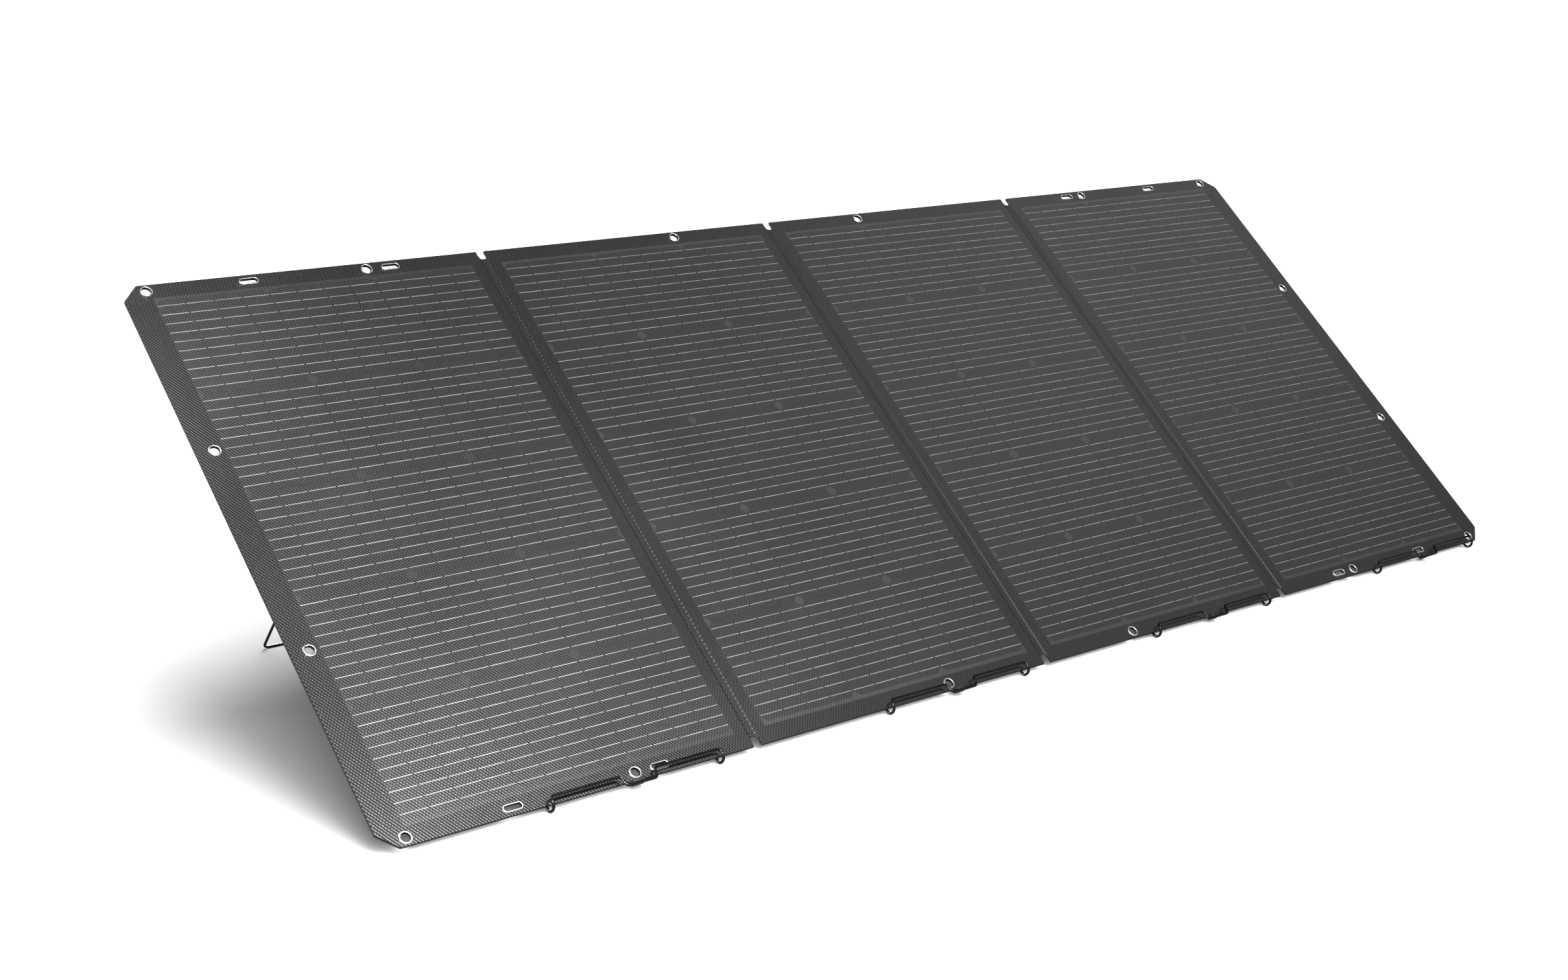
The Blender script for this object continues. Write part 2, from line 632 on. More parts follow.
def outline_of(lo, hi, i, grow=0.0):
    """A board's edge, with the outer corners cut off."""
    left = CORNER if i == 0 else 0.0
    right = CORNER if i == 3 else 0.0
    edge = [(lo + left, 0.0), (hi - right, 0.0)]
    edge += [(hi, right), (hi, HEIGHT - right)] if right else []
    edge += [(hi - right, HEIGHT), (lo + left, HEIGHT)]
    edge += [(lo, HEIGHT - left), (lo, left)] if left else []
    radii = []
    for x, v in edge:
        radii.append(3.0 if (left and x < lo + left + 1) or (right and x > hi - right - 1) else 1.2)
    return fillet(edge, radii, 4)


for i in range(4):
    number = i + 1
    lo, hi = FILMS[i][0][0], FILMS[i][1][0]
    holes = [
        circle(x, v, rim - (1.75 if half > 1 else 1.9), half if half > 1 else 0.0)
        for n, x, v, half, rim in eyelets
        if lo < x < hi
    ]
    edge = outline_of(lo, hi, i)
    sheet = plate_bag([edge] + holes, FILMS[i][0][2], FACE, 0.25)
    heights = [p[2] for p in sheet.v]
    sheet.m = [0 if min(heights[k] for k in face) > FACE - 0.01 else 1 for face in sheet.f]
    piece(f"film_{number}", sheet, [M_FILM, M_EDGE], BODIES[i], f"front_film_{number}", smooth=False)

    # what shows through the film: the lighter backing, the cells with their cut corners, and the ribbons
    (wx0, wv0, _), (wx1, wv1, _) = CELLS[i]
    face = Bag()
    gap_x, gap_v = (PITCH_X - CELL) / 2, (PITCH_V - CELL) / 2
    face.prism(fillet([(wx0, wv0), (wx1, wv0), (wx1, wv1), (wx0, wv1)], 0.8, 3), FACE - 0.02, FACE + 0.03, 0)
    span = PITCH_X * (COLUMNS - 1) + CELL
    start = (wx0 + wx1) / 2 - span / 2
    for row in range(ROWS):
        v0 = FIRST_V + row * PITCH_V
        v1 = v0 + CELL
        for col in range(COLUMNS):
            x0 = start + col * PITCH_X
            x1 = x0 + CELL
            m = (x0 + x1) / 2
            c, g = CHAMFER, 0.35
            face.prism([(x0 + c, v0), (m - g, v0), (m - g, v1), (x0 + c, v1), (x0, v1 - c), (x0, v0 + c)], FACE, FACE + 0.06, 1)
            face.prism([(m + g, v0), (x1 - c, v0), (x1, v0 + c), (x1, v1 - c), (x1 - c, v1), (m + g, v1)], FACE, FACE + 0.06, 1)
        for col in range(COLUMNS):
            x0 = start + col * PITCH_X
            if row < ROWS - 1:
                face.prism([(x0 + CHAMFER, v1 - 0.1), (x0 + CELL - CHAMFER, v1 - 0.1), (x0 + CELL - CHAMFER, v1 + 2 * gap_v + 0.1), (x0 + CHAMFER, v1 + 2 * gap_v + 0.1)], FACE, FACE + 0.045, 3)
            if col < COLUMNS - 1:
                face.prism([(x0 + CELL - 0.1, v0 + CHAMFER), (x0 + CELL + 2 * gap_x + 0.1, v0 + CHAMFER), (x0 + CELL + 2 * gap_x + 0.1, v1 - CHAMFER), (x0 + CELL - 0.1, v1 - CHAMFER)], FACE, FACE + 0.045, 3)
        for line in range(10):
            v = v0 + BUS_FIRST + line * BUS_PITCH
            wide = 0.48 + 0.06 * rng.random()
            for dash in range(12):
                x = (wx0 + wx1) / 2 + (dash - 6) * DASH
                a, b = x + DASH_GAP / 2 + rng.uniform(-0.15, 0.15), x + DASH - DASH_GAP / 2 + rng.uniform(-0.15, 0.15)
                dv = rng.uniform(-0.06, 0.06)
                face.prism(
                    [(a, v - wide * 0.6 + dv), (a + 0.9, v - wide + dv), (b - 0.9, v - wide + dv), (b, v - wide * 0.6 + dv),
                     (b, v + wide * 0.6 + dv), (b - 0.9, v + wide + dv), (a + 0.9, v + wide + dv), (a, v + wide * 0.6 + dv)],
                    FACE + 0.02, FACE + 0.09, 2,
                )
    piece(f"cells_{number}", face, [M_BACKING_LIT if i == 0 else M_BACKING, M_CELL, M_RIBBON, M_GAP], BODIES[i], f"cell_layer_{number}", smooth=False)

    # the board itself keeps its CAD solid
    node = frame["nodes"][f"board_{number}"]
    node.data.materials.clear()
    node.data.materials.append(M_EDGE)

# ------------------------------------------------------------------ fold strips
PAIRS = (("left", "panel_2", "panel_1"), ("centre", "panel_2", "panel_3"), ("right", "panel_3", "panel_4"))
EDGE_X = 7.45
NOTCH = 16.5
for (which, near, far), line in zip(PAIRS, FOLDS):
    bag = Bag()
    nx, nv = 40, 160
    rows = []
    sign = -1.0 if which == "left" else 1.0
    for j in range(nx + 1):
        x = -EDGE_X + 2 * EDGE_X * j / nx
        u = abs(x) / EDGE_X
        low = NOTCH - EDGE_X * (1 - math.sqrt(max(0.0, 1 - min(1.0, u) ** 2.6)))
        sag = -0.85 * min(1.0, (1 - u) / 0.32)
        top = FACE - 0.06 + sag
        rows.append((x, low, HEIGHT - low, top, FACE - 2.6))
    top_v, bottom_v = [], []
    for x, a, b, top, bottom in rows:
        for k in range(nv + 1):
            v = a + (b - a) * k / nv
            top_v.append((line + x, v, top))
            bottom_v.append((line + x, v, bottom))
    stride = nv + 1
    count = len(top_v)
    faces = []
    for j in range(nx):
        for k in range(nv):
            a, b = j * stride + k, (j + 1) * stride + k
            faces.append((a, b, b + 1, a + 1))
            faces.append((count + a, count + a + 1, count + b + 1, count + b))
    for j in range(nx):
        a, b = j * stride, (j + 1) * stride
        faces.append((a, count + a, count + b, b))
        a, b = a + nv, b + nv
        faces.append((a, b, count + b, count + a))
    for k in range(nv):
        faces.append((k, k + 1, count + k + 1, count + k))
        a = nx * stride + k
        faces.append((a, count + a, count + a + 1, a + 1))
    bag.add(top_v + bottom_v, faces)
    ob = piece(f"strip_{which}", bag, M_STRIP, None, f"fold_strip_{which}", 50.0)
    side = -1.0 if which == "left" else 1.0
    mid_v = HEIGHT / 2
    start = ARRAY @ (Vector((line - side * 6.6, mid_v, 0.0)) * MM)
    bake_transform(ob)

# ------------------------------------------------------------------ stands
WIRE = 2.25
HOOK_R, HOOK_N = 10.0, 3.0
FRONT_V, FRONT_N, JOG_V = 6.3, 13.0, -9.4
EYE_R = 5.0
for i in range(4):
    number = i + 1
    lo, hi = STANDS[i]
    cx, s = (lo[0] + hi[0]) / 2, (hi[0] - lo[0]) / 2 - WIRE
    pivot = (Vector(joints[f"leg_{number}_swing"]["pos_m"]) - ORIGIN) / MM
    pv, pn = pivot.dot(V_DIR), pivot.dot(N_DIR)

    def arc(points):
        return points

    half = [(0.0, JOG_V, FRONT_N)]
    half += bend((0, JOG_V, FRONT_N), (26.0, JOG_V, FRONT_N), (29.0, FRONT_V, FRONT_N), 6.0, 8)
    half += bend((26.0, JOG_V, FRONT_N), (29.0, FRONT_V, FRONT_N), (s, FRONT_V, FRONT_N), 6.0, 8)
    half += bend((0, FRONT_V, FRONT_N), (s, FRONT_V, FRONT_N), (s, -20.0, FRONT_N), FRONT_V, 8)
    for k in range(1, 25):
        a = math.pi * k / 24
        half.append((s, -HOOK_R * math.sin(a), HOOK_N + HOOK_R * math.cos(a)))
    low, high = (0.0, HOOK_N - HOOK_R), (pv, pn)
    for k in range(1, 12):
        q = k / 12
        half.append((s, low[0] + (high[0] - 12 - low[0]) * q, low[1] + (high[1] - low[1]) * q * (high[0] - 12) / high[0]))
    half += bend((s, *low), (s, *high), (0, *high), 6.0, 8)
    half += [(s * 0.6, *high), (s * 0.2, *high)]
    loop = half + [(-x, v, n) for x, v, n in reversed(half[1:])]
    bag = Bag()
    bag.tube([(cx + x, v, n) for x, v, n in loop], WIRE, 18, closed=True)
    piece(f"stand_wire_{number}", bag, M_WIRE, BODIES[i], f"stand_frame_{number}", 60.0)

    # the leg: an eye round the bar at each end, and a foot bar
    leg_lo, leg_hi = abox(f"stand_leg_{number}")
    leg_half = (leg_hi[0] - leg_lo[0]) / 2 - WIRE
    length = pn - leg_lo[2] - WIRE
    half = []
    for k in range(37):
        a = math.radians(-88 + 268 * k / 36)
        half.append((leg_half, EYE_R * math.cos(a), EYE_R * math.sin(a)))
    for k in range(1, 10):
        half.append((leg_half, -EYE_R, -(length - 14) * k / 10))
    half += bend((leg_half, -EYE_R, 0), (leg_half, -EYE_R, -length), (0, -EYE_R, -length), 12.0, 10)
    half += [(leg_half * 0.6, -EYE_R, -length), (leg_half * 0.2, -EYE_R, -length)]
    loop = half + [(-x, v, n) for x, v, n in reversed(half)]
    bag = Bag()
    bag.tube([(cx + x, pv + v, pn + n) for x, v, n in loop], WIRE, 18)
    piece(f"leg_wire_{number}", bag, M_WIRE, f"leg_{number}", f"stand_leg_{number}", 60.0)

    # the rubber block behind the jog
    blo, bhi = abox(f"edge_block_{number}")
    profile = fillet([(-6.5, -4.0), (-6.5, 8.5), (0.3, 8.5), (0.3, 0.4), (-0.4, 0.4), (-0.4, -4.0)], [1.6, 1.6, 1.0, 0.2, 0.2, 0.8], 4)
    bx0, bx1 = blo[0], bhi[0]
    rings = []
    for x, shrink in ((bx0, 0.8), (bx0 + 0.25, 0.35), (bx0 + 0.8, 0.0), (bx1 - 0.8, 0.0), (bx1 - 0.25, 0.35), (bx1, 0.8)):
        rings.append([(x, -3.4 + (v + 3.4) * (1 - shrink / 4.0), 2.2 + (n - 2.2) * (1 - shrink / 6.5)) for v, n in profile])
    bag = Bag()
    bag.loft(rings)
    piece(f"block_{number}", bag, M_BLOCK, BODIES[i], f"edge_block_{number}", 35.0)

# ------------------------------------------------------------------ covers on the backs
TAPE, SIDE_TAPE = 24.0, 52.0
SKIN = COVER_BACK + 0.1


def ripple(x, v, scale, seed=0.0):
    return noise.noise(Vector((x * scale, v * scale, seed)))


def quilt(bag, x0, x1, v0, v1, level, rise, step=6.0, mat=0, floor=None):
    """A taut sheet that crowns a little and puckers along its sewn edges, closed behind by one flat face."""
    nx, nv = int(round((x1 - x0) / step)), int(round((v1 - v0) / step))
    grid = []
    for a in range(nx + 1):
        for b in range(nv + 1):
            x, v = x0 + (x1 - x0) * a / nx, v0 + (v1 - v0) * b / nv
            d = min(x - x0, x1 - x, v - v0, v1 - v)
            along = v if min(x - x0, x1 - x) < min(v - v0, v1 - v) else x
            puff = rise * (1 - math.exp(-d / 30.0)) * (0.75 + 0.8 * ripple(x, v, 0.011, 3.0))
            pucker = 0.30 * math.exp(-d / 9.0) * (1 - math.exp(-d / 2.0)) * math.cos(math.tau * along / 9.3 + 3 * ripple(x, v, 0.03, 8.0))
            crease = 0.22 * (1 - math.exp(-d / 20.0)) * ripple(x, v * 0.35, 0.05, 21.0)
            grid.append((x, v, level - max(0.0, puff + crease) - pucker))
    front = [a * (nv + 1) + b for a in range(nx + 1) for b in range(nv + 1)]
    rim = [a * (nv + 1) for a in range(nx + 1)] + [nx * (nv + 1) + b for b in range(1, nv + 1)]
    rim += [a * (nv + 1) + nv for a in range(nx - 1, -1, -1)] + [b for b in range(nv - 1, 0, -1)]
    faces = []
    for a in range(nx):
        for b in range(nv):
            k = a * (nv + 1) + b
            faces.append((k, k + 1, k + nv + 2, k + nv + 1))
    base = len(grid)
    grid += [(grid[k][0], grid[k][1], level + 0.4) for k in rim]
    count = len(rim)
    for k in range(count):
        j = (k + 1) % count
        faces.append((rim[k], rim[j], base + j, base + k))
    faces.append(tuple(base + k for k in range(count)))
    bag.add(grid, faces, mat)


def sewn_rectangle(bag, x0, x1, v0, v1, n, radius=0.36, length=4.0, gap=1.5, mat=0):
    for a, b in (((x0, v0), (x1, v0)), ((x1, v0), (x1, v1)), ((x1, v1), (x0, v1)), ((x0, v1), (x0, v0))):
        bag.stitches((*a, n), (*b, n), radius, length, gap, mat)


KEEPER_HALF, KEEPER_FOOT = 32.0, 20.0
for i in range(4):
    number = i + 1
    lo, hi = BOARDS[i][0][0], BOARDS[i][1][0]
    holes = [
        circle(x, v, 5.2 if half > 1 else 8.4, half if half > 1 else 0.0, 40)
        for n, x, v, half, rim in eyelets
        if lo < x < hi
    ]
    inner_lo = lo + (SIDE_TAPE if i == 0 else TAPE)
    inner_hi = hi - (SIDE_TAPE if i == 3 else TAPE)
    low_v, high_v = TAPE + 2, HEIGHT - TAPE - 2
    window = fillet([(inner_lo, low_v), (inner_hi, low_v), (inner_hi, high_v), (inner_lo, high_v)], 6.0, 4)
    bag = plate_bag([outline_of(lo, hi, i), window] + holes, COVER_BACK - 0.35, FRONT_OF_COVER, 0.2)
    bag.m = [1] * len(bag.m)
    quilt(bag, inner_lo - 4, inner_hi + 4, low_v - 4, high_v + 4, SKIN, 0.95)
    tape_n = COVER_BACK - 0.42
    for inset in (-2.4, -6.6):
        sewn_rectangle(bag, inner_lo + inset, inner_hi - inset, low_v + inset, high_v - inset, tape_n, mat=2)
    edge = outline_of(lo + 4.0, hi - 4.0, i)
    shrunk = [(x, 4.0 + (v * (HEIGHT - 8.0) / HEIGHT)) for x, v in edge]
    for a, b in zip(shrunk, shrunk[1:] + shrunk[:1]):
        if math.dist(a, b) > 12.0:
            bag.stitches((*a, tape_n), (*b, tape_n), 0.36, 4.0, 1.5, 2)

    # the keeper: webbing sewn down by two feet, with the stand's top bar between them
    cx = (STANDS[i][0][0] + STANDS[i][1][0]) / 2
    pivot = (Vector(joints[f"leg_{number}_swing"]["pos_m"]) - ORIGIN) / MM
    pv, pn = pivot.dot(V_DIR), pivot.dot(N_DIR)
    thick, radius = 1.1, 3.35
    level = COVER_BACK - 0.9 - pn
    section = fillet([(-KEEPER_FOOT, level), (-9.6, level), (-radius - 0.6, 1.2)], [0, 2.4, 0], 5, closed=False)
    arc = [(-radius * math.cos(math.pi * k / 14), -radius * math.sin(math.pi * k / 14)) for k in range(15)]
    path = [(-KEEPER_FOOT, level), (-14.0, level)] + section[1:-1] + arc
    path = path + [(-v, n) for v, n in section[1:-1][::-1]] + [(14.0, level), (KEEPER_FOOT, level)]
    bag.strap([(cx, pv + v, pn + n) for v, n in path], (1, 0, 0), KEEPER_HALF, thick, 3)
    top = COVER_BACK - 0.9 - thick / 2 - 0.12
    for sign in (-1, 1):
        near, far = pv + sign * 12.2, pv + sign * 18.4
        sewn_rectangle(bag, cx - 29.5, cx + 29.5, min(near, far), max(near, far), top, 0.34, 3.0, 1.0, 2)
        for k in range(6):
            a = cx - 28.5 + 9.5 * k
            bag.stitches((a, near, top), (a + 4.75, far, top), 0.32, 2.6, 0.8, 2)
            bag.stitches((a + 4.75, far, top), (a + 9.5, near, top), 0.32, 2.6, 0.8, 2)
    piece(f"cover_{number}", bag, [M_COVER, M_BINDING, M_THREAD, M_WEBBING], BODIES[i], f"back_cover_{number}", 40.0)

# ------------------------------------------------------------------ junction box, lead and plug


def rounded(x0, x1, v0, v1, r, n, inset=0.0, steps=6):
    p = [(x0 + inset, v0 + inset), (x1 - inset, v0 + inset), (x1 - inset, v1 - inset), (x0 + inset, v1 - inset)]
    return [(x, v, n) for x, v in fillet(p, max(0.3, r - inset), steps)]


def turned(bag, x, n, stations, shape=None, segments=48, mat=0):
    """Rings round an axis along v. A station is a place on the axis, a radius and how far its outline follows shape."""
    rings = []
    for station in stations:
        v, r = station[:2]
        follow = station[2] if len(station) > 2 else 0.0
        ring = []
        for k in range(segments):
            a = math.tau * k / segments
            q = r * (1 + follow * (shape(a) - 1)) if shape and follow else r
            ring.append((x + q * math.cos(a), v, n + q * math.sin(a)))
        rings.append(ring)
    bag.loft(rings, mat)


def hexagon(a):
    b = (a % (math.pi / 3)) - math.pi / 6
    return min(1.0 / math.cos(b), 1.10)


(bx0, bv0, bn0), (bx1, bv1, bn1) = abox("junction_box")
bag = Bag()
levels = [(bn1, 0.5), (bn1 - 0.5, 0.1), (bn1 - 1.0, 0.0), (bn1 - 2.3, 0.0), (bn1 - 2.8, 0.25), (bn1 - 3.0, 0.8), (bn1 - 3.1, 3.0), (bn1 - 3.6, 3.5)]
levels += [(bn1 - 3.6 - 10.6 * k / 4, 3.5 + 0.8 * k / 4) for k in range(1, 5)] + [(bn0 + 0.5, 4.6), (bn0, 5.4)]
bag.loft([rounded(bx0, bx1, bv0, bv1, 9.0, n, inset) for n, inset in levels])
for k in range(15):  # fins on the long sides
    x = bx0 + 20 + (bx1 - bx0 - 40) * k / 14
    if abs(x - (bx0 + bx1) / 2) > 12:
        bag.strap([(x, bv0 + 2.3, bn1 - 3.4), (x, bv0 + 3.0, bn0 + 3.4), (x, bv0 + 4.6, bn0 + 2.0)], (1, 0, 0), 1.1, 1.9)
    bag.strap([(x, bv1 - 2.3, bn1 - 3.4), (x, bv1 - 3.0, bn0 + 3.4), (x, bv1 - 4.6, bn0 + 2.0)], (1, 0, 0), 1.1, 1.9)
for k in range(9):  # and on the short ones
    v = bv0 + 18 + (bv1 - bv0 - 36) * k / 8
    for x, sign in ((bx0, 1), (bx1, -1)):
        bag.strap([(x + 2.3 * sign, v, bn1 - 3.4), (x + 3.0 * sign, v, bn0 + 3.4), (x + 4.6 * sign, v, bn0 + 2.0)], (0, 1, 0), 1.1, 1.9)
lead_lo, lead_hi = abox("output_lead")
plug_lo, plug_hi = abox("output_plug")
lead_x, lead_n = (bx0 + bx1) / 2, (lead_lo[2] + lead_hi[2]) / 2
plug_x = (plug_lo[0] + plug_hi[0]) / 2
gland = [(bv0 + 5, 6.9), (bv0 + 0.6, 6.9), (bv0 + 0.2, 7.4), (bv0 - 0.8, 7.4), (bv0 - 1.1, 7.1)]
turned(bag, lead_x, lead_n, gland)
nut = [(bv0 - 1.0, 6.0, 1.0), (bv0 - 1.3, 6.5, 1.0), (bv0 - 8.0, 6.5, 1.0), (bv0 - 8.4, 6.1, 1.0), (bv0 - 8.5, 5.6), (bv0 - 10.5, 5.4), (bv0 - 12.6, 4.5), (bv0 - 13.4, 3.6)]
turned(bag, lead_x, lead_n, nut, hexagon)
piece("connector_box", bag, M_BOX, "panel_4", "junction_box", 30.0)

(lx0, lv0, ln0), (lx1, lv1, ln1) = abox("junction_box_lid")
bag = Bag()
levels = [(ln1, 0.6), (ln1 - 0.3, 0.1), (ln1 - 0.9, 0.0), (ln0 + 1.0, 0.0), (ln0 + 0.4, 0.3), (ln0 + 0.05, 0.9), (ln0, 1.6), (ln0, 10.4), (ln0 + 0.1, 10.8), (ln0 + 0.7, 11.2), (ln0 + 0.75, 11.8)]
bag.loft([rounded(lx0, lx1, lv0, lv1, 7.0, n, inset) for n, inset in levels])
for k in range(7):  # raised bars in the sunk panel
    v = lv0 + 17 + (lv1 - lv0 - 34) * k / 6
    inner = 15.5
    bag.strap([(lx0 + inner + (lx1 - lx0 - 2 * inner) * q / 8, v, ln0 + 0.62) for q in range(9)], (0, 1, 0), 1.5, 1.0)
for x in (lx0 + 5.8, lx1 - 5.8):  # screws with a hexagon socket
    for v in (lv0 + 5.8, lv1 - 5.8):
        rings = []
        for r, n, follow in ((3.0, ln0 + 0.3, 0), (3.0, ln0 - 0.25, 0), (2.75, ln0 - 0.6, 0), (2.2, ln0 - 0.8, 0), (1.35, ln0 - 0.82, 1), (1.25, ln0 - 0.72, 1), (1.2, ln0 + 0.2, 1)):
            rings.append([
                (x + r * (hexagon(a) if follow else 1) * math.cos(a), v + r * (hexagon(a) if follow else 1) * math.sin(a), n)
                for a in (math.tau * k / 36 for k in range(36))
            ])
        bag.loft(rings, 1)
piece("connector_box_cover", bag, [M_BOX, M_SCREW], "panel_4", "junction_box_lid", 30.0)

lead_v = [lead_hi[1], bv0 - 74.0, bv0 - 132.0, plug_hi[1]]
corners = [(lead_x, lead_v[0], lead_n), (lead_x, lead_v[1], lead_n), (plug_x, lead_v[2], lead_n), (plug_x, lead_v[3] + 0.3, lead_n)]
path = [corners[0]] + [tuple(np.array(corners[0]) + (np.array(corners[1]) - np.array(corners[0])) * k / 24) for k in range(1, 18)]
path += bend(*corners[:3], 26.0, 10) + bend(*corners[1:], 26.0, 10)
last = np.array(path[-1])
path += [tuple(last + (np.array(corners[3]) - last) * k / 24) for k in range(1, 25)]
tail = corners[3][1]
radii = []
for x, v, n in path:
    r = 3.25
    d = v - tail
    if d < 15.0 and x < lead_x - 10:
        r = 3.25 + 2.1 * (1 - d / 15.0) ** 0.8 + (0.35 if int(d / 1.9) % 2 else 0.0)
    radii.append(r)
bag = Bag()
bag.tube(path, radii, 24, round_ends=False)
piece("lead", bag, M_LEAD, "panel_4", "output_lead", 45.0)


def flutes(a):
    return 1.0 - 0.075 * (0.5 + 0.5 * math.cos(14 * a)) ** 0.6


bag = Bag()
v0 = plug_hi[1]
profile = [(0, 5.2), (-0.7, 6.1), (-2, 6.6), (-5, 6.6), (-5.3, 6.2), (-6.2, 6.2), (-6.5, 6.6), (-10, 6.6), (-10.8, 7.0), (-12, 7.9), (-13.2, 8.0)]
profile += [(-14.0, 8.0), (-15.0, 8.0, 1.0)] + [(-15.0 - 3.4 * k, 8.0, 1.0) for k in range(1, 7)] + [(-36.4, 8.0), (-39.6, 8.0), (-40.4, 7.4)]
profile += [(-41.2, 6.5), (-42, 6.2), (-48, 6.2), (-48.4, 5.9), (-49.4, 5.9), (-49.8, 6.2), (-53.5, 6.2), (-54, 5.8), (-54, 5.1), (-53.4, 4.8), (-47, 4.7), (-47, 0.4)]
turned(bag, plug_x, lead_n, [(v0 + p[0], *p[1:]) for p in profile], flutes, 84)
for dx in (-1.9, 1.9):
    turned(bag, plug_x + dx, lead_n, [(v0 - 46.6, 0.95), (v0 - 51.6, 0.95), (v0 - 52.3, 0.7), (v0 - 52.5, 0.3)], None, 16, 1)
piece("plug", bag, [M_BOX, M_SCREW], "panel_4", "output_plug", 35.0)

# ------------------------------------------------------------------ cable pouch: sewn, blown up by cloth simulation


def inflate(bag, voxel, pinned, pressure, shrink, cap, frames=20):
    """Remeshes a closed shape evenly, blows it up as cloth and gives back its points and faces, in millimetres."""
    mesh = bpy.data.meshes.new("soft")
    mesh.from_pydata((np.array(bag.v) * MM).tolist(), [], bag.f)
    mesh.update()
    ob = link(bpy.data.objects.new("soft", mesh))
    step = ob.modifiers.new("even", "REMESH")
    step.mode = "VOXEL"
    step.voxel_size = voxel * MM
    bpy.context.view_layer.update()
    even = bpy.data.meshes.new_from_object(ob.evaluated_get(bpy.context.evaluated_depsgraph_get()))
    ob.modifiers.clear()
    ob.data = even
    rest = np.zeros(len(even.vertices) * 3)
    even.vertices.foreach_get("co", rest)
    rest = rest.reshape(-1, 3)
    moved = rest.copy()
    group = ob.vertex_groups.new(name="pin")
    group.add([k for k, p in enumerate(rest / MM) if pinned(*p)], 1.0, "REPLACE")
    cloth = ob.modifiers.new("cloth", "CLOTH")
    s = cloth.settings
    s.vertex_group_mass = "pin"
    s.quality = 5
    s.mass = 0.25
    s.tension_stiffness = s.compression_stiffness = 12.0
    s.shear_stiffness = 4.0
    s.bending_stiffness = 0.25
    s.use_pressure = True
    s.uniform_pressure_force = pressure
    s.shrink_min = s.shrink_max = shrink
    s.effector_weights.gravity = 0.0
    cloth.point_cache.frame_start, cloth.point_cache.frame_end = 1, frames
    scene = bpy.context.scene
    for f in range(1, frames + 1):
        scene.frame_set(f)
    done = ob.evaluated_get(bpy.context.evaluated_depsgraph_get()).to_mesh()
    moved = np.zeros(len(done.vertices) * 3)
    done.vertices.foreach_get("co", moved)
    moved = moved.reshape(-1, 3)
    scene.frame_set(1)
    shift = moved - rest
    size = np.linalg.norm(shift, axis=1)
    shift *= np.minimum(1.0, cap * MM / np.maximum(size, 1e-9))[:, None]
    points = (rest + shift) / MM
    faces = [tuple(p.vertices) for p in even.polygons]
    bpy.data.objects.remove(ob, do_unlink=True)
    return points, faces


(px0, pv0, pn0), (px1, pv1, pn1) = abox("cable_pouch")
shape = Bag()
shape.loft([rounded(px0, px1, pv0, pv1, 20.0, n, inset, 8) for n, inset in ((pn1, 3.0), (pn1 - 2.0, 2.0), (pn1 - 9.0, 3.0), (pn1 - 13.5, 6.5), (pn1 - 15.5, 13.0))])
points, faces = inflate(shape, 4.5, lambda x, v, n: n > pn1 - 2.2, 5.0, -0.035, 6.5)
mid_x, mid_v = (px0 + px1) / 2, (pv0 + pv1) / 2
for p in points:  # the coil of cable inside shows as a soft ring; the back stays flat on the board
    if p[2] < pn1 - 6:
        ring = math.hypot((p[0] - mid_x) / 62.0, (p[1] - mid_v + 12) / 84.0)
        p[2] -= 2.2 * math.exp(-(((ring - 1.0) / 0.24) ** 2)) + 0.5 * ripple(p[0], p[1], 0.03, 5.0)
        p[2] = max(p[2], pn0 - 3.0)
    p[2] = min(p[2], pn1)
pouch = Bag()
pouch.add(points, faces)
tree = BVHTree.FromPolygons([Vector(p) for p in points], faces)


def skin_n(x, v):
    """The pouch's outer surface at a place, seen from behind the board."""
    hit = tree.ray_cast(Vector((x, v, pn0 - 40.0)), Vector((0.0, 0.0, 1.0)))
    return hit[0].z if hit[0] is not None else pn1 - 1.0


# the zip: two tapes, a coil of teeth and a slider with a cord
zip_v = pv1 - 58.0
zx0, zx1 = px0 + 20.0, px1 - 20.0
steps = 60
line = [(zx0 + (zx1 - zx0) * k / steps, zip_v) for k in range(steps + 1)]
for dv in (-6.4, 6.4):
    pouch.strap([(x, v + dv, skin_n(x, v + dv) - 0.35) for x, v in line], (0, 1, 0), 5.6, 0.9, 1)
teeth = int((zx1 - zx0) / 1.55)
for k in range(teeth + 1):
    x = zx0 + 1.0 + (zx1 - zx0 - 2.0) * k / teeth
    n = skin_n(x, zip_v) - 0.75
    sign = 1 if k % 2 else -1
    pouch.capsule((x, zip_v - 1.5 * sign, n), (x, zip_v + 0.9 * sign, n), 0.52, 2, 6)
for dv in (-10.0, 10.0):
    for a, b in zip(line, line[1:]):
        pouch.stitches((a[0], zip_v + dv, skin_n(a[0], zip_v + dv) - 0.85), (b[0], zip_v + dv, skin_n(b[0], zip_v + dv) - 0.85), 0.3, 2.4, 0.8, 3)
sx = zx1 - 16.0
sn = skin_n(sx, zip_v) - 1.3
slider = [rounded(sx - 5.5, sx + 5.5, zip_v - 3.6, zip_v + 3.6, 2.2, n, inset) for n, inset in ((sn + 0.4, 0.5), (sn, 0.0), (sn - 1.0, 0.0), (sn - 1.5, 0.6), (sn - 1.6, 1.6))]
pouch.loft(slider, 4)
cord = [(sx - 2.0, zip_v, sn - 1.4), (sx - 4.0, zip_v - 3.0, sn - 2.2)] + [
    (sx - 5.0 - 3.0 * math.sin(k * 0.35), zip_v - 5.0 - 2.6 * k, skin_n(sx - 5, zip_v - 5 - 2.6 * k) - 1.5) for k in range(12)
]
pouch.tube(cord, [0.9, 0.9] + [1.35] * 12, 12, mat=1)

